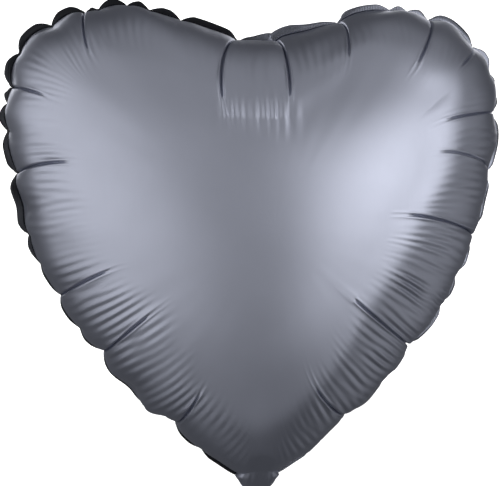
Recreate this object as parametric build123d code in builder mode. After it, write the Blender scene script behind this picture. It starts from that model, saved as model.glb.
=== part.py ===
"""Heart-shaped foil balloon, inflated, with its filling tail folded up behind it.

Two heart-shaped film panels are welded together round their edge. The weld runs on down both
sides of a flat filling tail. A self-sealing valve, two thin films welded along their edges,
lies inside the tail and the neck and reaches up into the gas. The tail hinges at a crease
under the neck.

Frame: X to the right, Y to the back, Z up. The origin is the middle of the neck, where a
ribbon is tied. Films are drawn thicker than they are, so that each one is a solid.
Units are millimetres.
"""

import os
from math import acos, atan2, cos, hypot, radians, sin, tan

from build123d import *

# Weld line: the inner edge of the seam, right half
LOBE_X, LOBE_Z = 92.0, 260.0  # centre of the lobe's arc
LOBE_RADIUS = 90.0
NOTCH_Z = 325.0  # lowest point of the notch between the lobes
SIDE_RADIUS = 380.0  # long arc from the lobe down to the neck
TIP_CORNER = (9.7, 5.0)  # where the weld turns down into the neck

# Inflated shape
CROWN_Z = 195.0  # height of the deepest point
HALF_DEPTH = 82.0
CROWN_WIDTH, CROWN_HEIGHT = 150.0, 125.0  # half axes that the sections round off towards
SECTION_ANGLES = (0, 7, 15, 25, 37, 50, 64, 77, 85)  # degrees up the quarter ellipse

# Films and welds
FILM = 0.4
SEAL = 0.4  # thickness of the weld between the two panels
MARGIN = 4.8  # width of the weld
NECK_WIDTH = 29.0
CHANNEL_WIDTH = NECK_WIDTH - 2 * MARGIN
NECK_TOP_Z = 12.0  # the neck's tab overlaps the heart up to here

# Crease that the tail hinges on
CREASE_Z = -7.0  # height of the hinge axis
CREASE_REACH = 4.0  # the films are flat from this far from the axis
FOLD = 135.0  # degrees from hanging straight down to folded up behind
NECK_END_Z = CREASE_Z + CREASE_REACH
TAIL_TOP_Z = CREASE_Z - CREASE_REACH  # while it hangs

# Tail
TAIL_LENGTH = 85.0
MOUTH_CORNER = 3.0
STACK = SEAL + 2 * FILM

# Valve
VALVE_FILM = 0.15
VALVE_WIDTH = 19.0
VALVE_SEAL_WIDTH = 2.0
VALVE_TOP_Z = 88.0
TAIL_VALVE_LENGTH = 79.0  # the valve stops short of the tail's open end
PRINT_FILM = 0.06
PRINT_WIDTH = 13.0
PRINT_TOP_Z = 30.0

os.makedirs("parts", exist_ok=True)


def write(part, label):
    """Labels a finished piece and writes it as parts/label.step."""
    part.label = label
    export_step(part, f"parts/{label}.step")


def arc_points(centre, radius, start, end, count):
    """Points along an arc, from the start angle to just before the end angle, in radians."""
    steps = [start + (end - start) * i / count for i in range(count)]
    return [(centre[0] + radius * cos(a), centre[1] + radius * sin(a)) for a in steps]


def outline_points(outset=0.0):
    """The right half of the weld line, or a line outside it, from the notch to the tip."""
    rise = NOTCH_Z - LOBE_Z
    notch_radius = (LOBE_X**2 + rise**2 - LOBE_RADIUS**2) / (2 * (LOBE_RADIUS - rise))
    notch_centre = (0.0, NOTCH_Z + notch_radius)
    to_notch = atan2(notch_centre[1] - LOBE_Z, -LOBE_X)

    # The side arc touches the lobe's circle from outside it and ends at the tip's corner.
    dx, dz = TIP_CORNER[0] - LOBE_X, TIP_CORNER[1] - LOBE_Z
    reach, gap = hypot(dx, dz), SIDE_RADIUS - LOBE_RADIUS
    turn = acos((gap**2 + reach**2 - SIDE_RADIUS**2) / (2 * gap * reach))
    away = atan2(dz, dx) - turn
    side_centre = (LOBE_X + gap * cos(away), LOBE_Z + gap * sin(away))
    side_start = atan2(LOBE_Z - side_centre[1], LOBE_X - side_centre[0])
    side_end = atan2(TIP_CORNER[1] - side_centre[1], TIP_CORNER[0] - side_centre[0])

    notch_start = radians(-90)
    notch_end = atan2(LOBE_Z - notch_centre[1], LOBE_X)
    points = arc_points(notch_centre, notch_radius - outset, notch_start, notch_end, 2)
    points += arc_points((LOBE_X, LOBE_Z), LOBE_RADIUS + outset, to_notch, side_start, 7)
    points += arc_points(side_centre, SIDE_RADIUS + outset, side_start, side_end, 6)
    return points + arc_points(side_centre, SIDE_RADIUS + outset, side_end, side_end, 1)


def section_points(size, inset):
    """The weld line drawn in to a share of its size, rounder as it shrinks, less an inset."""
    roundness = min(1.0, 1.1 * (1 - size) ** 0.46)
    points = []
    for x, z in outline_points():
        angle, far = atan2(z - CROWN_Z, x), hypot(x, z - CROWN_Z)
        oval = 1 / hypot(cos(angle) / CROWN_WIDTH, sin(angle) / CROWN_HEIGHT)
        reach = size * (far * (1 - roundness) + oval * roundness) - inset
        points.append((reach * cos(angle), CROWN_Z + reach * sin(angle)))
    return points


def heart_face(plane, points):
    """A heart-shaped face on that plane, from the points of its right half."""
    left_half = [(-x, z) for x, z in points[:0:-1]]
    with BuildSketch(plane) as sketch:
        with BuildLine():
            Spline(*points, *left_half, periodic=True)
        make_face()
    return sketch.sketch


def pillow(half_depth, inset):
    """One half of the inflated shape, from the weld's plane towards the front."""
    base = Plane.XZ.offset(SEAL / 2)
    with BuildPart() as body:
        faces = [
            heart_face(
                base.offset(half_depth * sin(radians(a))),
                section_points(cos(radians(a)), inset),
            )
            for a in SECTION_ANGLES
        ]
        loft(sections=faces)
    return body.part


def seam_face(plane, with_channel):
    """The welded margin, the neck's tab and, if asked, the neck's channel as one flat face."""
    neck_height = NECK_TOP_Z - NECK_END_Z
    neck_middle = (0, (NECK_TOP_Z + NECK_END_Z) / 2)
    with BuildSketch(plane) as sketch:
        add(heart_face(Plane.XY, outline_points(MARGIN)))
        with Locations(neck_middle):
            Rectangle(NECK_WIDTH, neck_height)
        if not with_channel:
            add(heart_face(Plane.XY, outline_points()), mode=Mode.SUBTRACT)
            with Locations(neck_middle):
                Rectangle(CHANNEL_WIDTH, neck_height, mode=Mode.SUBTRACT)
    return sketch.sketch


def strip(width, top, bottom, near, far):
    """A flat strip that hangs in the XZ plane, from y = near to y = far."""
    with BuildPart() as body:
        with Locations((0, (near + far) / 2, (top + bottom) / 2)):
            Box(width, far - near, top - bottom)
    return body.part


def valve_film(top, bottom):
    """The front film of the valve, with the welded strip along each edge."""
    with BuildPart() as body:
        add(strip(VALVE_WIDTH, top, bottom, -SEAL / 2, 0))
        passage = VALVE_WIDTH - 2 * VALVE_SEAL_WIDTH
        add(strip(passage, top, bottom, VALVE_FILM - SEAL / 2, 0), mode=Mode.SUBTRACT)
    return body.part


def folded_up(part):
    """A part of the hanging tail, turned up behind the balloon."""
    return part.rotate(Axis((0, 0, CREASE_Z), (1, 0, 0)), FOLD)


# --- Envelope: two panels and the weld between them ---

with BuildPart() as front_panel:
    add(pillow(HALF_DEPTH, 0))
    extrude(seam_face(Plane.XZ.offset(SEAL / 2), with_channel=True), amount=FILM)
    add(pillow(HALF_DEPTH - FILM, FILM), mode=Mode.SUBTRACT)
write(front_panel.part, "front_panel")

with BuildPart() as back_panel:
    mirror(front_panel.part, about=Plane.XZ)
write(back_panel.part, "back_panel")

with BuildPart() as perimeter_seal:
    extrude(seam_face(Plane.XZ, with_channel=False), amount=SEAL / 2, both=True)
write(perimeter_seal.part, "perimeter_seal")

# --- Valve inside the neck, reaching up into the gas ---

with BuildPart() as valve_front_film:
    add(valve_film(VALVE_TOP_Z, NECK_END_Z))
write(valve_front_film.part, "valve_front_film")

with BuildPart() as valve_back_film:
    mirror(valve_front_film.part, about=Plane.XZ)
write(valve_back_film.part, "valve_back_film")

# Heat-proof ink on the front film keeps the valve from being welded shut.
with BuildPart() as valve_release_print:
    ink_front = VALVE_FILM - SEAL / 2
    add(strip(PRINT_WIDTH, PRINT_TOP_Z, NECK_END_Z, ink_front, ink_front + PRINT_FILM))
write(valve_release_print.part, "valve_release_print")

# --- Crease: the films and the valve bend round together below the neck ---

with BuildPart() as neck_fold:
    bend_radius = CREASE_REACH * tan(radians(180 - FOLD) / 2)
    with BuildSketch(Plane.XY.offset(NECK_END_Z)):
        Rectangle(NECK_WIDTH, STACK)
    revolve(axis=Axis((0, bend_radius, NECK_END_Z), (1, 0, 0)), revolution_arc=FOLD)
write(neck_fold.part, "neck_fold")

# --- Tail: drawn hanging straight down, then folded up behind ---

TAIL_END_Z = TAIL_TOP_Z - TAIL_LENGTH

with BuildPart() as tail_front_film:
    add(strip(NECK_WIDTH, TAIL_TOP_Z, TAIL_END_Z, -STACK / 2, -SEAL / 2))
    mouth_corners = edges().filter_by(Axis.Y).group_by(Axis.Z)[0]
    fillet(mouth_corners, radius=MOUTH_CORNER)

with BuildPart() as tail_back_film:
    mirror(tail_front_film.part, about=Plane.XZ)

with BuildPart() as tail_side_seals:
    add(strip(NECK_WIDTH, TAIL_TOP_Z, TAIL_END_Z + MOUTH_CORNER, -SEAL / 2, SEAL / 2))
    add(strip(CHANNEL_WIDTH, TAIL_TOP_Z, TAIL_END_Z, -SEAL / 2, SEAL / 2), mode=Mode.SUBTRACT)

with BuildPart() as tail_valve_front_film:
    add(valve_film(TAIL_TOP_Z, TAIL_TOP_Z - TAIL_VALVE_LENGTH))

with BuildPart() as tail_valve_back_film:
    mirror(tail_valve_front_film.part, about=Plane.XZ)

write(folded_up(tail_front_film.part), "tail_front_film")
write(folded_up(tail_back_film.part), "tail_back_film")
write(folded_up(tail_side_seals.part), "tail_side_seals")
write(folded_up(tail_valve_front_film.part), "tail_valve_front_film")
write(folded_up(tail_valve_back_film.part), "tail_valve_back_film")
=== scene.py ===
"""Heart-shaped foil balloon: puckered foil panels, edge weld, neck, folded tail and valve."""

import math

import bpy
import numpy as np
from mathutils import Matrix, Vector


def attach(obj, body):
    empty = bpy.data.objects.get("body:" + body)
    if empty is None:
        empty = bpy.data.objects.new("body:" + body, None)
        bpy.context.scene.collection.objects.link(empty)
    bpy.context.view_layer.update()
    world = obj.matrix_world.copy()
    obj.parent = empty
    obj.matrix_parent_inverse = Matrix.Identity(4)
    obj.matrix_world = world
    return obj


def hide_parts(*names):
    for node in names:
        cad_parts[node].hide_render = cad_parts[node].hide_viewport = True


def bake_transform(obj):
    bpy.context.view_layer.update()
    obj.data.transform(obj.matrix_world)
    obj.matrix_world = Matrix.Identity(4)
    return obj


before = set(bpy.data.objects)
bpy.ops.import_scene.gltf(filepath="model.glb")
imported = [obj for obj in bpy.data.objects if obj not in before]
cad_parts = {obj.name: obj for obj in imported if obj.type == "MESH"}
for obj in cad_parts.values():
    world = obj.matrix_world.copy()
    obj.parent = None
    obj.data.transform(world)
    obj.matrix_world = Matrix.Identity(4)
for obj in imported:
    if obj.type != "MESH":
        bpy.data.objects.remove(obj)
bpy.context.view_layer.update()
MM = 0.001

# ---------------------------------------------------------------- dimensions, in millimetres

# Outline of the whole heart, right half, from the notch down to the neck (x, z)
HALF_OUTLINE = [
    (0, 329), (24, 333), (53, 341), (90, 352), (127, 347), (161, 330), (179, 299), (182, 262),
    (176, 226), (166, 182), (142, 131), (117, 97), (81, 56), (57, 36), (33, 16), (14, 5), (0, 3),
]
MARGIN = 4.8          # width of the weld outside the gas space
FILM = 0.15           # thickness of a panel's film
HALF_DEPTH = 81.0     # how far the middle of the panel stands out
CENTRE = np.array([0.0, 196.0])  # where the panel's rings close (x, z)
MIDDLE_RADIUS = 132.0            # the circle that the rings turn into on their way there
GRID_X, GRID_Z, GRID_STEP = (-195, 196), (-12, 366), 3.0  # the grid that the film is solved on

# The film's mesh: rings from the seam inwards, each with the same columns
RINGS, AROUND = 66, 1056
LAST_RING = 88.5      # degrees on the way from the seam (0) to the centre (90)
FINE, COARSE = 42, 54  # rings where the mesh turns coarser, towards the middle
THIN, THINNER = 4, 16  # there one column in 4 is kept, then one in 16
CROWD, CROWD_REACH = 7, 2.6  # columns that crowd beside a crease, and how far off they go

# Long creases: where each leaves the seam (x, z), where it ends, and how deep it is
CREASES = [
    (-14, 325, -36, 289, 10), (-123, 343, -123, 316, 8), (-176, 291, -153, 284, 7),
    (-172, 230, -139, 240, 9), (-143, 142, -112, 165, 8), (-114, 101, -83, 135, 9),
    (-63, 47, -48, 77, 8), (68, 51, 33, 80, 9), (114, 101, 58, 144, 10), (160, 181, 102, 203, 10),
    (173, 228, 127, 248, 5), (177, 273, 128, 269, 8), (162, 322, 141, 306, 6),
    (127, 342, 107, 308, 8), (59, 338, 58, 312, 6), (11, 326, 13, 284, 10),
]
# Parts of a crease, as shares of its depth, and their widths
GROOVE, GROOVE_WIDE = 0.5, 0.58
VALLEY, VALLEY_WIDE = 0.10, 9
LIP, LIP_WIDE, LIP_OFF = 0.06, 0.8, 1.7
LIP_ALONG, LIP_LONG = 0.85, 0.22     # shares of the crease's length
DRAWN_IN, DRAWN_REACH = 0.50, 14     # how the seam is pulled in where the crease leaves it

# Short nicks between them: place (x, z), depth, reach
NICKS = [
    (-55, 339, 3, 8), (-94, 348, 3, 9), (-147, 335, 3.5, 10), (-168, 314, 3, 9),
    (-184, 279, 3, 9), (-184, 260, 3, 8), (-166, 186, 3.5, 12), (-86, 60, 3, 10),
    (-43, 25, 2.5, 8), (42, 25, 2.5, 8), (100, 75, 3, 12), (141, 131, 3, 12),
    (152, 153, 3.5, 14), (167, 188, 3, 12), (174, 303, 3, 10), (181, 292, 2.5, 8),
    (111, 349, 3, 8), (98, 349, 2.5, 7), (-158, 165, 3, 14), (-129, 118, 3.5, 14),
    (-72, 51, 3, 10), (-78, 345, 2.5, 7), (-114, 347, 3, 8),
]
# Where fine streaks gather: place (x, z), spread along the seam, strength
STREAKS = [
    (-174, 213, 34, 1.3), (-128, 117, 45, 0.8), (-76, 58, 40, 0.7), (66, 50, 40, 0.9),
    (109, 95, 35, 1.1), (139, 140, 35, 1.1), (169, 207, 45, 0.8), (180, 259, 30, 0.5),
    (-178, 292, 25, 0.05),
]
# Relief of the film: how far each part stands out, and how far it reaches or how long its wave
# is. A band is how much the wavelength varies, and a run is how far across the waves are drawn
EDGE_OUT, EDGE_REACH = 2.2, 30                              # all along the seam
LEFT_OUT, LEFT_REACH = 1.5, 18                              # more of it on the lower left
SHOULDER_OUT, SHOULDER_RIGHT, SHOULDER_WIDE = 1.2, 0.6, 17  # ridge through the creases' ends
LOBE_OUT, LOBE_WAVE, LOBE_REACH = 0.6, 42.0, 38             # broad lobes
LONG_BAND, LONG_RUN = 0.012, 150                            # of the long waves
STREAK_OUT, STREAK_WAVE, STREAK_BAND, STREAK_RUN = 0.26, 6.6, 0.03, 50
STREAK_EVERYWHERE = 0.25                                    # strength where none gather
STREAK_END, STREAK_END_WAVE, STREAK_END_MOST = 4, 50.0, 9   # how unevenly the streaks end
FAN_OUT, FAN_PLACE, FAN_SIZE = 0.55, (-9, 271), (27, 10)    # pleats under the notch

# The weld: half its thickness, and in degrees how far it leans back, how much more on the upper
# left and right of the notch, and how much that varies
WELD_HALF, LEAN, LEAN_MORE, LEAN_VARY = 0.14, 8, 4, 7
# Where it is pulled wide and straight, right of the notch: place x, width
BRIDGE = [(-14, 0.5), (-6, 3.5), (9, 7.5), (26, 7.0), (37, 5.0), (48, 3.5), (62, 0.8)]
# Round its section: share of its width, and front (-1), edge (0) or back (1)
WELD_SECTION = [(-0.06, -1), (0.3, -1), (0.65, -1), (0.97, -1), (1.0, 0), (0.97, 1), (0.65, 1),
                (0.3, 1), (-0.06, 1)]

# The neck and the tail
CREASE_Z = -7.0       # height of the hinge, where the tail turns behind the neck
REACH = 4.0           # how far from the hinge the bend begins and ends
FOLD = math.radians(135)
TAIL_LONG, TAIL_HALF = 85, 14.5  # the tail beyond the bend, and half its width
GATHER_FROM, GATHER_LONG = 5, 12.6  # height where the film starts to draw in, and over how far
NECK_TOP, NECK_FLAT = 22.0, 0.7     # where the neck starts, and half its thickness at the bend
PUFF, PUFF_FROM = 24, -4            # how far it stands out at its top, and from what height
TAIL_GAP, TAIL_TOP, TAIL_WIDE = 4.8, 80, 28  # room that the panels leave for the tail

# ---------------------------------------------------------------- the foil's shape


def ramp(v, zero, one):
    """0 up to the first value, 1 from the second one on, and straight between them."""
    return np.clip((v - zero) / (one - zero), 0, 1)


def closed_curve(points, count):
    """Evenly spaced points on a smooth closed curve through the given ones, and its length."""
    per_span = 60
    p = np.asarray(points, float)
    prev, nxt, nxt2 = np.roll(p, 1, 0), np.roll(p, -1, 0), np.roll(p, -2, 0)
    a, b, c = (np.sqrt(np.linalg.norm(v, axis=1))[:, None]
               for v in (p - prev, nxt - p, nxt2 - nxt))
    m0 = b * ((p - prev) / a - (nxt - prev) / (a + b) + (nxt - p) / b)
    m1 = b * ((nxt - p) / b - (nxt2 - p) / (b + c) + (nxt2 - nxt) / c)
    t = np.linspace(0, 1, per_span, endpoint=False)[None, :, None]
    curve = ((2 * t**3 - 3 * t**2 + 1) * p[:, None] + (t**3 - 2 * t**2 + t) * m0[:, None]
             + (3 * t**2 - 2 * t**3) * nxt[:, None] + (t**3 - t**2) * m1[:, None]).reshape(-1, 2)
    curve = np.vstack([curve, curve[:1]])
    run = np.r_[0, np.cumsum(np.linalg.norm(np.diff(curve, axis=0), axis=1))]
    at = np.linspace(0, run[-1], count, endpoint=False)
    return np.c_[np.interp(at, run, curve[:, 0]), np.interp(at, run, curve[:, 1])], run[-1]


def outward(curve):
    """Unit normals of a closed curve that runs clockwise, seen from the front."""
    t = np.roll(curve, -1, 0) - np.roll(curve, 1, 0)
    t /= np.linalg.norm(t, axis=1, keepdims=True)
    return np.c_[-t[:, 1], t[:, 0]]


def soften(a, passes, axis=1):
    """Smooth a closed row of values."""
    for _ in range(passes):
        a = (np.roll(a, 1, axis) + 2 * a + np.roll(a, -1, axis)) / 4
    return a


def soften_across(rings, passes):
    """Smooth from ring to ring, in place. The first and the last ring stay."""
    for _ in range(passes):
        rings[1:-1] = (rings[:-2] + 2 * rings[1:-1] + rings[2:]) / 4


def seam_line(count):
    """The seam without its puckers, and its length."""
    dense_count, every = 2048, 16
    half = np.array(HALF_OUTLINE, float)
    whole = np.vstack([half, (half[1:-1] * [-1, 1])[::-1]])
    dense, _ = closed_curve(whole, dense_count)
    return closed_curve((dense - MARGIN * outward(dense))[::every], count)


def membrane(line):
    """Height of a soap film blown up inside the seam, on a grid."""
    passes, over_relax = 500, 1.94
    gx, gz = np.arange(*GRID_X, GRID_STEP), np.arange(*GRID_Z, GRID_STEP)
    x, z = np.meshgrid(gx, gz, indexing="ij")
    inside = np.zeros(x.shape, bool)
    for (ax, az), (bx, bz) in zip(line[::4], np.roll(line[::4], -1, 0)):
        if az != bz:
            inside ^= ((az > z) != (bz > z)) & (x < (bx - ax) * (z - az) / (bz - az) + ax)
    film = np.zeros(x.shape)
    odd = np.add.outer(np.arange(len(gx)), np.arange(len(gz))) % 2 == 1
    for _ in range(passes):
        for turn in (odd, ~odd):
            m = (inside & turn)[1:-1, 1:-1]
            beside = film[2:, 1:-1] + film[:-2, 1:-1] + film[1:-1, 2:] + film[1:-1, :-2]
            mean = (beside + GRID_STEP**2) / 4
            film[1:-1, 1:-1][m] += over_relax * (mean - film[1:-1, 1:-1])[m]
    return gx, gz, film


def cubic(f):
    """Weights of four neighbours for a smooth lookup."""
    return (-f**3 + 2 * f**2 - f) / 2, (3 * f**3 - 5 * f**2 + 2) / 2, \
        (-3 * f**3 + 4 * f**2 + f) / 2, (f**3 - f**2) / 2


def sample_grid(gx, gz, grid, x, z):
    """Smooth lookup in a regular grid."""
    step = gx[1] - gx[0]
    u, v = (x - gx[0]) / step, (z - gz[0]) / step
    i, j = np.floor(u).astype(int), np.floor(v).astype(int)
    i, j = np.clip(i, 1, len(gx) - 3), np.clip(j, 1, len(gz) - 3)
    total = 0
    for a, wa in enumerate(cubic(u - i)):
        for b, wb in enumerate(cubic(v - j)):
            total = total + wa * wb * grid[i + a - 1, j + b - 1]
    return total


def sample_rings(rings, x):
    """Smooth lookup along every ring, at the column positions x."""
    i = np.floor(x).astype(int)
    row, total = np.arange(len(x))[:, None], 0
    for a, w in enumerate(cubic(x - i)):
        total = total + rings[row, (i + a - 1) % AROUND] * (w[..., None] if rings.ndim == 3 else w)
    return total


def pillow():
    """The smooth inflated front, as rings from the seam inwards, the seam and its length."""
    steady_from, across_passes, along_passes = 13, 12, 18
    line, length = seam_line(AROUND)
    size = np.cos(np.radians(np.linspace(0, LAST_RING, RINGS)))[:, None]
    off = line - CENTRE
    far, angle = np.linalg.norm(off, axis=1), np.unwrap(np.arctan2(off[:, 1], off[:, 0]))
    # Towards the middle the heart-shaped rings turn into circles with even columns
    even = angle[0] + np.sign(angle[-1] - angle[0]) * 2 * np.pi * np.arange(AROUND) / AROUND
    even += (angle - even).mean()
    w = np.minimum(1, 1.1 * (1 - size) ** 0.8)
    a, r = angle * (1 - w) + even * w, far * (1 - w) + MIDDLE_RADIUS * w
    points = np.zeros((RINGS, AROUND, 3))
    points[..., 0] = CENTRE[0] + size * r * np.cos(a)
    points[..., 2] = CENTRE[1] + size * r * np.sin(a)
    # What is left of the membrane's height, once the ring's own rise is taken out, is smoothed
    share = sample_grid(*membrane(line), points[..., 0], points[..., 2]) / (1 - size**2 + 1e-9)
    share[:steady_from] = share[steady_from]
    soften_across(share, across_passes)
    height = soften(share, along_passes) * (1 - size**2)
    points[..., 1] = -HALF_DEPTH * np.sqrt(height / height.max())
    return points, line, length


def unit_normals(p):
    """Outward normals of the front."""
    across = np.empty_like(p)
    across[1:-1] = p[2:] - p[:-2]
    across[0], across[-1] = 2 * (p[1] - p[0]), 2 * (p[-1] - p[-2])
    n = np.cross(np.roll(p, -1, 1) - np.roll(p, 1, 1), across)
    n = -n * np.sign(n[..., 1].sum())
    return n / (np.linalg.norm(n, axis=-1, keepdims=True) + 1e-12)


def columns_from(column, start):
    """How many columns it is from start to column, the shorter way round."""
    return (column - start + AROUND // 2) % AROUND - AROUND // 2


def seam_column(x, z):
    """Column of the seam nearest to (x, z)."""
    return int(np.argmin(((LINE - (x, z)) ** 2).sum(1)))


def along_seam(x, z, column):
    """How far along the seam the given columns are from (x, z)."""
    return np.abs(columns_from(column, seam_column(x, z))) * LENGTH / AROUND


def crease_paths(p, arc):
    """For every long crease: its column on the seam, its column and the share of its length on
    each ring, its depth, and how far from the seam the film's shoulder runs there."""
    power, level_from, sharp, at_end = 1.4, 1.2, 8, 0.964
    nearest, furthest = 60, 96
    plan, found = p[..., [0, 2]], []
    for x, z, x2, z2, deep in CREASES:
        i = seam_column(x, z)
        k, j = divmod(int(np.argmin(((plan - (x2, z2)) ** 2).sum(-1))), AROUND)
        along = arc[:, i] / arc[k, j]
        # It bends more and more, is at its last column at its end, and levels out beyond that
        bend = along**power / (1 + (along / level_from) ** sharp) ** (power / sharp) / at_end
        shoulder = min(furthest, max(nearest, arc[k, j]))
        found.append((i, i + columns_from(j, i) * bend, along, deep, shoulder))
    return sorted(found, key=lambda c: c[0])


def crowd(paths, hoop):
    """Column positions that follow the long creases and crowd together beside them."""
    start, last = (np.array([path[1][k] for path in paths]) for k in (0, -1))
    start = start.astype(int)
    gap = np.maximum((np.roll(start, -1) - start) % AROUND, (np.roll(last, -1) - last) % AROUND)
    wide = CROWD_REACH / hoop[0, start]
    room = gap - wide - np.roll(wide, -1)
    spare = AROUND - 2 * CROWD * len(paths)
    share = np.floor(np.r_[0, np.cumsum(room)] / room.sum() * spare)
    place = start[0] + share[:-1] + 2 * CROWD * np.arange(len(paths))
    out = np.zeros_like(hoop)
    for k in range(RINGS):
        xp, fp = [], []
        for (i, at, along, _, _), c in zip(paths, place):
            calm = ramp(along[k], 1, 1.5)
            w = CROWD_REACH / hoop[k, i] * (1 - calm) + CROWD * calm
            xp += [c - CROWD, c + CROWD]
            fp += [at[k] - w, at[k] + w]
        xp, fp = np.array(xp), np.array(fp)
        out[k] = np.interp(np.arange(AROUND), np.r_[xp - AROUND, xp, xp + AROUND],
                           np.r_[fp - AROUND, fp, fp + AROUND])
    return out


def banded(rng, shape, wavelength, width=LONG_BAND, run=LONG_RUN):
    """Noise with one wavelength along the seam, drawn out across it."""
    wave = np.fft.fftfreq(AROUND, LENGTH / AROUND)
    band = np.exp(-((np.abs(wave) - 1 / wavelength) / width) ** 2)
    noise = np.fft.ifft(np.fft.fft(rng.normal(0, 1, shape), axis=1) * band, axis=1).real
    soften_across(noise, run)
    return noise / noise[5:30].std()


def aside(p, col):
    """How many columns each point is away from the foot of its perpendicular on the seam."""
    most = 30
    shift = np.zeros(col.shape)
    for k in range(1, FINE):
        gap = (p[k, :, [0]].T - LINE[:, 0]) ** 2 + (p[k, :, [2]].T - LINE[:, 1]) ** 2
        shift[k] = columns_from(gap.argmin(1), col[k])
    shift[FINE:] = shift[FINE - 1]
    return soften(soften(most * np.tanh(shift / most), 100), 3, axis=0)


def lower_left(x, z):
    """1 on the lower left side, where the film swells out over its weld, and 0 elsewhere."""
    return ramp(x, -12, -37) * ramp(z, 190, 165) * ramp(z, 20, 50)


def relief(p, arc, col, foot, paths):
    """How far the film stands out along its normals, before the creases are pressed in."""
    x, z = p[..., 0], p[..., 2]
    rng = np.random.default_rng(11)
    # A soft shoulder runs through the inner ends of the creases, firmer on the right
    places, reaches = [c[0] for c in paths], [c[4] for c in paths]
    end = soften(np.interp(foot, places, reaches, period=AROUND), 60)
    firm = SHOULDER_OUT + SHOULDER_RIGHT * np.clip(x / 60, -1, 1)
    push = EDGE_OUT * np.exp(-arc / EDGE_REACH) \
        + firm * np.exp(-((arc - end) / SHOULDER_WIDE) ** 2)
    push += LEFT_OUT * lower_left(x, z) * np.exp(-arc / LEFT_REACH)
    uneven = STREAK_END * sample_rings(banded(rng, arc.shape, STREAK_END_WAVE), col)
    end = end + np.clip(uneven, -STREAK_END_MOST, STREAK_END_MOST)
    # Broad lobes, weaker beside the seam
    push += sample_rings(banded(rng, arc.shape, LOBE_WAVE), col) * LOBE_OUT \
        * np.clip(arc / 10, 0.3, 1) * np.exp(-arc / LOBE_REACH)
    # Fine streaks across the seam, which fade in beside it and end at the shoulder
    patch = np.full_like(arc, STREAK_EVERYWHERE)
    for streak_x, streak_z, spread, strength in STREAKS:
        patch += strength * np.exp(-(along_seam(streak_x, streak_z, foot) / spread) ** 2)
    patch *= ramp(arc, 12, 32) * np.exp(-(arc / end) ** 7)
    streaks = banded(rng, arc.shape, STREAK_WAVE, STREAK_BAND, STREAK_RUN)
    push += STREAK_OUT * patch * sample_rings(streaks, foot)
    # Upright pleats under the notch, unevenly spaced
    fan = np.exp(-((x - FAN_PLACE[0]) / FAN_SIZE[0]) ** 6 - ((z - FAN_PLACE[1]) / FAN_SIZE[1]) ** 2)
    push += FAN_OUT * fan * np.sin(0.85 * x + 1.2 * np.sin(0.21 * x))
    return push


def press_in(push, arc, col, hoop, paths):
    """Press creases and nicks into the relief. How far each column is from one, on the seam."""
    near = np.full(AROUND, 99.0)
    for i, at, along, deep, _ in paths:
        off = np.abs(columns_from(col, at[:, None])) * hoop[:, [i]]
        live = ramp(along, 1, 0)[:, None]
        groove = np.exp(-(off / GROOVE_WIDE) ** 1.5)
        push -= GROOVE * deep * np.minimum(1, arc / 6) * live**0.25 * groove
        push -= VALLEY * deep * live * np.exp(-off / VALLEY_WIDE)
        lip = np.exp(-((along[:, None] - LIP_ALONG) / LIP_LONG) ** 2) \
            * np.exp(-((off - LIP_OFF) / LIP_WIDE) ** 2)
        push += LIP * deep * lip
        push -= DRAWN_IN * deep * np.exp(-arc / DRAWN_REACH) \
            * (0.4 * np.exp(-off / 2.5) + 0.6 * np.exp(-off / 9))
        near = np.minimum(near, off[0])
    for x, z, deep, reach in NICKS:
        off = along_seam(x, z, col)
        push -= deep * np.exp(-(arc / reach) ** 1.5) \
            * (0.5 * np.exp(-off / 2.2) + 0.5 * np.exp(-off / 8))
        near = np.minimum(near, off[0])
    return near


def foil():
    """The inflated front with its relief, and how far each column is from a pucker."""
    arc = np.linalg.norm(SMOOTH[1:] - SMOOTH[:-1], axis=-1)
    arc = np.r_[np.zeros((1, AROUND)), np.cumsum(arc, 0)]
    hoop = np.linalg.norm(np.roll(SMOOTH, -1, 1) - SMOOTH, axis=-1)
    paths = crease_paths(SMOOTH, arc)
    col = crowd(paths, hoop)
    p, arc = sample_rings(SMOOTH, col), sample_rings(arc, col)
    arc[0] = 0
    push = relief(p, arc, col, col + aside(p, col), paths)
    near = press_in(push, arc, col, hoop, paths)
    normal = unit_normals(p)
    normal[0, :, 1] = 0
    points = p + normal * push[..., None]
    # The folded tail lies against the film beside the tip and keeps it flat there
    over = np.maximum(0, -points[..., 1] - points[..., 2] - TAIL_GAP) * (points[..., 2] < TAIL_TOP)
    points[..., 1] += over * np.exp(-(points[..., 0] / TAIL_WIDE) ** 4)
    points[..., 1] = np.minimum(points[..., 1], 0)
    points[0, :, 1] = 0
    return points, near


# ---------------------------------------------------------------- panels and their weld


def new_mesh(name, points, faces):
    """A smooth mesh object from points in millimetres."""
    mesh = bpy.data.meshes.new(name)
    mesh.from_pydata((np.asarray(points) * MM).tolist(), [], faces)
    mesh.validate()
    mesh.polygons.foreach_set("use_smooth", [True] * len(mesh.polygons))
    obj = bpy.data.objects.new(name, mesh)
    bpy.context.scene.collection.objects.link(obj)
    return obj


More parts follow.
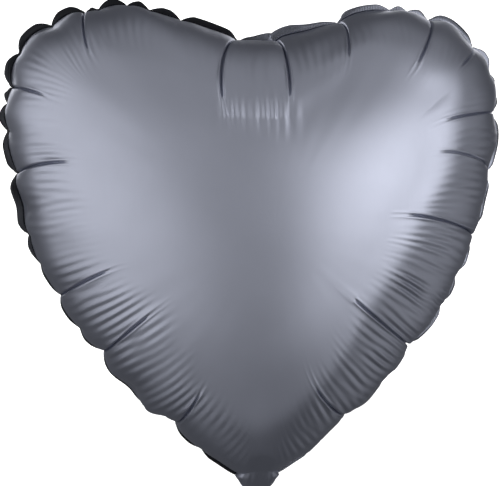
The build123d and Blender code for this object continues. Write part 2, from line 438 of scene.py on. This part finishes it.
def film_object(name, rings, flip):
    """One foil panel. The smooth middle has fewer points than the puckered band."""
    points, faces, rows = [], [], []
    for k in range(RINGS):
        count = AROUND if k < FINE else AROUND // THIN if k < COARSE else AROUND // THINNER
        rows.append((len(points), count))
        points += list(rings[k, ::AROUND // count])
    for (a, na), (b, nb) in zip(rows, rows[1:]):
        many = na // nb
        for j in range(nb):
            j2 = (j + 1) % nb
            outer = [a + (j * many + i) % na for i in range(many + 1)]
            if many == 1:
                faces.append((outer[0], outer[1], b + j2, b + j))
            else:
                half = many // 2
                faces += [(outer[i], outer[i + 1], b + j) for i in range(half)]
                faces.append((outer[half], b + j2, b + j))
                faces += [(outer[i], outer[i + 1], b + j2) for i in range(half, many)]
    # The last ring closes on one point, which stands out a little further
    b, nb = rows[-1]
    rise = (rings[-1, 0, 1] - rings[-2, 0, 1]) * 0.2
    points.append(rings[-1].mean(0) + (0, rise, 0))
    faces += [(b + j, b + (j + 1) % nb, len(points) - 1) for j in range(nb)]
    points = np.array(points)
    if flip:
        points[:, 1] *= -1
        faces = [f[::-1] for f in faces]
    obj = new_mesh(name, points, faces)
    solid = obj.modifiers.new("film", "SOLIDIFY")
    solid.thickness, solid.offset = FILM * MM, -1
    return obj


def weld_object(name, seam, near):
    """The weld's margin: a thin band outside the seam, in lobes between the puckers. It leans
    back a little. On the lower left the film hides most of it, right of the notch it is wide."""
    x, z = seam.T
    calm = soften(seam.T, 10).T
    side = outward(calm)
    cockle = soften(np.random.default_rng(5).normal(0, 1, (1, AROUND)), 60)[0]
    upper_left = ramp(x, -12, -37) * ramp(z, 90, 140)
    notch = ramp(x, -14, -6) * ramp(x, 64, 56) * (z > 200)
    wide = MARGIN * (0.12 + 0.88 * np.minimum(1, near / 9) ** 0.6)
    wide *= (1 + 0.2 * upper_left) * (1 - 0.4 * ramp(z, 90, 50))
    wide *= 1 - 0.7 * lower_left(x, z)
    wide = wide * (1 - notch) + np.interp(x, *zip(*BRIDGE)) * notch
    lean = np.radians(LEAN + LEAN_MORE * upper_left + LEAN_MORE * notch
                      + LEAN_VARY * cockle / cockle.std())
    ring = []
    for share, y in WELD_SECTION:
        turn = lean * max(share, 0) ** 0.5
        go = wide * share * np.cos(turn) - WELD_HALF * y * np.sin(turn)
        back = wide * share * np.sin(turn) + WELD_HALF * y * np.cos(turn)
        flat = seam * (1 - max(share, 0)) + calm * max(share, 0) + side * go[:, None]
        ring.append(np.c_[flat[:, 0], back, flat[:, 1]])
    count, faces = len(ring), []
    for j in range(AROUND):
        a, b = j * count, (j + 1) % AROUND * count
        faces += [(a + i, b + i, b + (i + 1) % count, a + (i + 1) % count) for i in range(count)]
    return new_mesh(name, np.array(ring).transpose(1, 0, 2).reshape(-1, 3), faces)


SMOOTH, LINE, LENGTH = pillow()
front, pucker = foil()
front_film = film_object("front_film", front, False)
back_film = film_object("back_film", front, True)
for obj, node in ((front_film, "front_panel"), (back_film, "back_panel")):
    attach(obj, "envelope")
    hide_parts(node)

edge_weld = weld_object("edge_weld", front[0][:, [0, 2]], pucker)
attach(edge_weld, "envelope")
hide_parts("perimeter_seal")

# ---------------------------------------------------------------- neck and tail


def gather(z):
    """Half the width of neck and tail at a height: drawn in round the crease."""
    return TAIL_HALF * math.sqrt(max(0.05, 1 - (min(0, z - GATHER_FROM) / GATHER_LONG) ** 2))


def on_tail(u, d, n):
    """A point on the tail: across, down its length from the hinge, and off its middle plane."""
    return (u, math.sin(FOLD) * d - n * math.cos(FOLD),
            CREASE_Z - math.cos(FOLD) * d - n * math.sin(FOLD))


def puff(z):
    """How far the neck stands out in front above the crease."""
    rise = (z - PUFF_FROM) / (NECK_TOP - PUFF_FROM)
    # Its top tucks in behind the panel
    return NECK_FLAT + PUFF * rise**0.82 - 0.35 * max(0, z - 15) ** 1.5


def neck_loops():
    """The neck: a short puffed channel that gathers to the crease and turns up behind."""
    bend_top, sleeve_end = CREASE_Z + REACH, 0.25
    turn_r = REACH * math.tan((math.pi - FOLD) / 2)
    # Stations down the neck: place (y, z), direction, and half its thickness in front and behind
    path = [(0.0, z, 0.0, puff(z), NECK_FLAT + 0.55 * (z - bend_top))
            for z in NECK_TOP - 1.3 * np.arange(19)]
    path += [(turn_r * (1 - math.cos(a)), bend_top - turn_r * math.sin(a), a,
              NECK_FLAT + 1.9 * (1 - a / FOLD), NECK_FLAT) for a in np.linspace(0, FOLD, 13)]
    path += [(math.sin(FOLD) * d, CREASE_Z - math.cos(FOLD) * d, FOLD, sleeve_end, sleeve_end)
             for d in (4.8, 5.8, 7.0)]
    loops = []
    for y, z, a, ahead, behind in path:
        # It flares and is most crinkled where it leaves the panels
        flare = max(0, min(0.6 * (z - 1.5), 2.6 - 0.5 * max(0, z - 4)))
        crinkle = 0.12 + 0.45 * math.exp(-((z - 5) / 3.5) ** 2)
        loop = []
        for t in np.linspace(0, 2 * math.pi, 144, endpoint=False):
            u = (gather(z) + flare) * math.copysign(abs(math.cos(t)) ** 0.75, math.cos(t))
            n = (ahead if math.sin(t) > 0 else behind) * math.sin(t)
            n += crinkle * math.sin(u * 1.3) * math.sin(t) ** 2
            loop.append((u, y - n * math.cos(a), z - n * math.sin(a)))
        loops.append(loop)
    return loops


def tube_object(name, loops):
    """A skin over loops of points, each loop closed, and both ends too."""
    rows, count = len(loops), len(loops[0])
    faces = [(r * count + c, r * count + (c + 1) % count, (r + 1) * count + (c + 1) % count,
              (r + 1) * count + c) for r in range(rows - 1) for c in range(count)]
    faces.append(tuple(range(count))[::-1])
    faces.append(tuple((rows - 1) * count + c for c in range(count)))
    return new_mesh(name, np.array(loops).reshape(-1, 3), faces)


neck = tube_object("neck_sleeve", neck_loops())
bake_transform(neck)
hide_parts("neck_fold")


def tail_piece(name, node, strips, thick, across, lift):
    """Thin closed strips on the tail, each between two shares of its half width, with a wavy
    lift. The corners of its mouth are rounded off."""
    rows, k = 65, across * 2
    corner_long, corner_from, corner_cut = 5, 11.5, 0.9
    grid, faces = [], []
    for inner, outer in strips:
        first = len(grid)
        for r in range(rows):
            down = r / (rows - 1)
            mouth = max(0, down * TAIL_LONG - (TAIL_LONG - corner_long)) / corner_long
            half = gather(CREASE_Z - math.cos(FOLD) * (REACH + TAIL_LONG * down))
            for c in range(across):
                share = inner + (outer - inner) * c / (across - 1)
                round_off = mouth * max(0, abs(share) * TAIL_HALF - corner_from) * corner_cut
                for m in (-thick, thick):
                    grid.append(on_tail(share * half, REACH + TAIL_LONG * down - round_off,
                                        lift(share * TAIL_HALF, down) + m))
        for r in range(first, first + (rows - 1) * k, k):
            for a in range(r, r + k - 2, 2):
                faces += [(a, a + 2, a + k + 2, a + k), (a + 1, a + k + 1, a + k + 3, a + 3)]
            faces += [(r, r + k, r + k + 1, r + 1),
                      (r + k - 1, r + 2 * k - 1, r + 2 * k - 2, r + k - 2)]
        for a in range(first, first + k - 2, 2):
            b = a + (rows - 1) * k
            faces += [(a, a + 1, a + 3, a + 2), (b, b + 2, b + 3, b + 1)]
    obj = new_mesh(name, grid, faces)
    obj.data.set_sharp_from_angle(angle=math.radians(40))
    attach(obj, "tail")
    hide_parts(node)
    return obj


def film_lift(sign):
    """How far a tail film stands off the middle plane: clear of the valve, and a little wavy."""
    clear, flat_half = 0.40, 10.5

    def lift(u, down):
        bulge = max(0, 1 - (u / flat_half) ** 2) * (0.10 + 1.4 * down**4)
        wave = 0.10 * (1 + math.sin(u * 0.9 + down * 9 + sign)) \
            + 0.08 * (1 + math.sin(down * 40 + u))
        return sign * (clear + bulge + wave * (1 - (u / TAIL_HALF) ** 2))
    return lift


tail_front = tail_piece("tail_front_skin", "tail_front_film", [(-1, 1)], 0.08, 33,
                        film_lift(1))
tail_back = tail_piece("tail_back_skin", "tail_back_film", [(-1, 1)], 0.08, 33,
                       film_lift(-1))
tail_weld = tail_piece("tail_weld", "tail_side_seals",
                       [(-1.0, -0.72), (0.72, 1.0)], 0.25, 5, lambda u, down: 0)

# ---------------------------------------------------------------- materials


def material(name):
    """A new material, its nodes and its shader."""
    mat = bpy.data.materials.new(name)
    mat.use_nodes = True
    return mat, mat.node_tree, mat.node_tree.nodes["Principled BSDF"]


def add(tree, kind, values, links):
    """A new shader node, with values and other nodes' outputs on its inputs."""
    node = tree.nodes.new("ShaderNode" + kind)
    if kind == "Mix":
        node.data_type = "RGBA"
    for name, value in values.items():
        node.inputs[name].default_value = value
    for name, output in links.items():
        tree.links.new(output, node.inputs[name])
    return node


def noise(tree, place, scale, detail):
    """Cloudy noise in the given space."""
    values = {"Scale": scale, "Detail": detail}
    return add(tree, "TexNoise", values, {"Vector": place}).outputs["Fac"]


def cloudy(tree, fac, colour, spread):
    """The colour, from a little darker to a little lighter."""
    dark, light = ((*[c * (1 + sign * spread) for c in colour], 1) for sign in (-1, 1))
    return add(tree, "Mix", {"A": dark, "B": light}, {"Factor": fac}).outputs["Result"]


def uneven(tree, fac, rough, spread):
    """The roughness, from a little less to a little more."""
    span = add(tree, "MapRange", {"To Min": rough - spread, "To Max": rough + spread},
               {"Value": fac})
    return span.outputs["Result"]


def bumpy(tree, fac, strength, distance, under=None):
    """Normals with a fine relief, on top of another one if there is one under it."""
    links = {"Height": fac, "Normal": under} if under else {"Height": fac}
    return add(tree, "Bump", {"Strength": strength, "Distance": distance}, links).outputs["Normal"]


def painted_weld_shade(tree, place, tint):
    """Painted shade: the weld's colour changes with its side. It is nearly black on the left,
    standing in for the dark reflections it shows there, and lighter from the notch to the right,
    standing in for the light it catches there.
    """
    parts = add(tree, "SeparateXYZ", {}, {"Vector": place})
    share = add(tree, "MapRange", {"From Min": -0.014, "From Max": 0.006},
                {"Value": parts.outputs["X"]})
    return add(tree, "Mix", {"B": (0.19, 0.20, 0.24, 1)},
               {"Factor": share.outputs["Result"], "A": tint}).outputs["Result"]


def foil_material(name, colour, rough, lines_and_painted_shade):
    """Satin metal film with a fine upright grain. The weld also gets fine stamped lines and painted
    shade in its colour.
    """
    mat, tree, shader = material(name)
    shader.inputs["Metallic"].default_value = 1.0
    place = tree.nodes.new("ShaderNodeTexCoord").outputs["Object"]
    stretch = add(tree, "Mapping", {"Scale": (1500, 1500, 45)}, {"Vector": place})
    grain = noise(tree, stretch.outputs["Vector"], 1.0, 3.0)
    tint = cloudy(tree, noise(tree, place, 28.0, 4.0), colour, 0.06)
    normal = bumpy(tree, grain, 0.10, 0.00006)
    if lines_and_painted_shade:
        # Painted shade: the weld's colour is made nearly black on the left and lighter to the right
        tint = painted_weld_shade(tree, place, tint)
        lines = add(tree, "TexWave", {"Scale": 260.0, "Distortion": 1.5}, {"Vector": place})
        normal = bumpy(tree, lines.outputs["Fac"], 0.3, 0.0001, normal)
    tree.links.new(tint, shader.inputs["Base Color"])
    tree.links.new(uneven(tree, grain, rough, 0.05), shader.inputs["Roughness"])
    tree.links.new(normal, shader.inputs["Normal"])
    return mat


def valve_material(name, colour, rough, alpha, scale):
    """Film or print with a cloudy tint, uneven gloss and a faint crinkle."""
    mat, tree, shader = material(name)
    shader.inputs["Alpha"].default_value = alpha
    place = tree.nodes.new("ShaderNodeTexCoord").outputs["Object"]
    grain = noise(tree, place, scale, 4.0)
    tree.links.new(cloudy(tree, grain, colour, 0.07), shader.inputs["Base Color"])
    tree.links.new(uneven(tree, grain, rough, 0.08), shader.inputs["Roughness"])
    tree.links.new(bumpy(tree, grain, 0.15, 0.0001), shader.inputs["Normal"])
    return mat


satin = foil_material("satin_graphite_foil", (0.414, 0.432, 0.514), 0.42, False)
# Painted shade: the weld's near-black colour stands in for the dark reflections it shows on its
# left
welded = foil_material("welded_foil_with_painted_shade", (0.025, 0.026, 0.03), 0.24, True)
for obj in (front_film, back_film, neck, tail_front, tail_back):
    obj.data.materials.append(satin)
for obj in (edge_weld, tail_weld):
    obj.data.materials.append(welded)

clear = valve_material("clear_valve_film", (0.86, 0.88, 0.9), 0.25, 0.45, 180.0)
ink = valve_material("heat_proof_ink", (0.2, 0.36, 0.62), 0.7, 1.0, 900.0)
for name, finish in (("valve_front_film", clear), ("valve_back_film", clear),
                     ("tail_valve_front_film", clear), ("tail_valve_back_film", clear),
                     ("valve_release_print", ink)):
    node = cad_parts[name]
    node.data.materials.clear()
    node.data.materials.append(finish)

# ---------------------------------------------------------------- stage, lights, camera


def glowing(name, colour, glow):
    """A plain matt material that gives off a little light of its own colour."""
    mat, _, shader = material(name)
    shader.inputs["Base Color"].default_value = (*colour, 1)
    shader.inputs["Roughness"].default_value = 0.8
    shader.inputs["Emission Color"].default_value = (*colour, 1)
    shader.inputs["Emission Strength"].default_value = glow
    return mat


def card(name, centre, size, facing, mat):
    """A flat rectangle that faces the given direction."""
    w, h = size[0] / 2, size[1] / 2
    mesh = bpy.data.meshes.new(name)
    mesh.from_pydata([(-w, -h, 0), (w, -h, 0), (w, h, 0), (-w, h, 0)], [], [(0, 1, 2, 3)])
    obj = bpy.data.objects.new(name, mesh)
    bpy.context.scene.collection.objects.link(obj)
    obj.location = centre
    obj.rotation_euler = Vector(facing).to_track_quat("Z", "Y").to_euler()
    mesh.materials.append(mat)
    return obj


def direction(bearing, height):
    """Unit vector out from the balloon, at a bearing from its front and a height, in degrees."""
    a, e = math.radians(bearing), math.radians(height)
    return Vector((math.sin(a) * math.cos(e), -math.cos(a) * math.cos(e), math.sin(e)))


def soft_light(name, place, target, size, power):
    """An area light that the camera doesn't see."""
    data = bpy.data.lights.new(name, "AREA")
    data.shape, data.size, data.size_y = "RECTANGLE", size[0], size[1]
    data.energy = power
    obj = bpy.data.objects.new(name, data)
    obj.visible_camera = False
    bpy.context.scene.collection.objects.link(obj)
    obj.location = place
    obj.rotation_euler = (target - place).to_track_quat("-Z", "Y").to_euler()


floor = card("floor", (0, 0, -0.45), (9, 9), (0, 0, 1),
             glowing("pale_floor", (0.9, 0.9, 0.9), 0.6))
backdrop = card("backdrop", (0, 2.4, 1.5), (9, 6), (0, -1, 0),
                glowing("pale_backdrop", (0.95, 0.95, 0.95), 1.0))
floor.visible_glossy = backdrop.visible_glossy = False

scene = bpy.context.scene
world = bpy.data.worlds.new("studio")
scene.world = world
world.use_nodes = True
world.node_tree.nodes["Background"].inputs["Color"].default_value = (0.93, 0.95, 1.0, 1)
world.node_tree.nodes["Background"].inputs["Strength"].default_value = 0.10

# Softboxes round the balloon, two of them behind it: bearing and height of each in degrees, and
# its power. They follow a fit to the photo's shading
BOXES = [
    (35, 10, 4.9), (35, -20, 2.54), (60, 10, 2.05), (35, 40, 0.53), (60, 40, 0.74), (85, -20, 0.51),
    (-35, 10, 2.13), (-35, -20, 1.71), (-60, 10, 1.84), (-60, -20, 1.77), (-35, 40, 0.21),
    (-60, 40, 1.34), (-85, 10, 2.01), (-85, -20, 1.04), (-12, 10, 0.58), (-12, -20, 0.69),
    (-12, 40, 0.72), (0, 70, 0.57), (60, 70, 0.58), (0, -55, 0.46), (-60, -55, 0.46),
    (150, 20, 4.0), (-150, 20, 4.0), (95, -38, 0.42),
]
MIDDLE, BOX_SIZE, BOX_FAR = Vector((0, 0, 0.19)), (0.75, 0.9), 1.5
for number, (bearing, height, power) in enumerate(BOXES, 1):
    place = MIDDLE + direction(bearing, height) * BOX_FAR
    soft_light(f"softbox_{number}", place, MIDDLE, BOX_SIZE, power)

scene.view_settings.view_transform = "Standard"
camera = bpy.data.objects.new("camera", bpy.data.cameras.new("camera"))
scene.collection.objects.link(camera)
scene.camera = camera
camera.data.lens, camera.data.sensor_width = 85, 36
AIM, CAMERA_FAR = Vector((-0.007, -0.012, 0.1795)), 0.852
view_back = direction(-8, 5)
camera.location = AIM + view_back * CAMERA_FAR
camera.rotation_euler = view_back.to_track_quat("Z", "Y").to_euler()
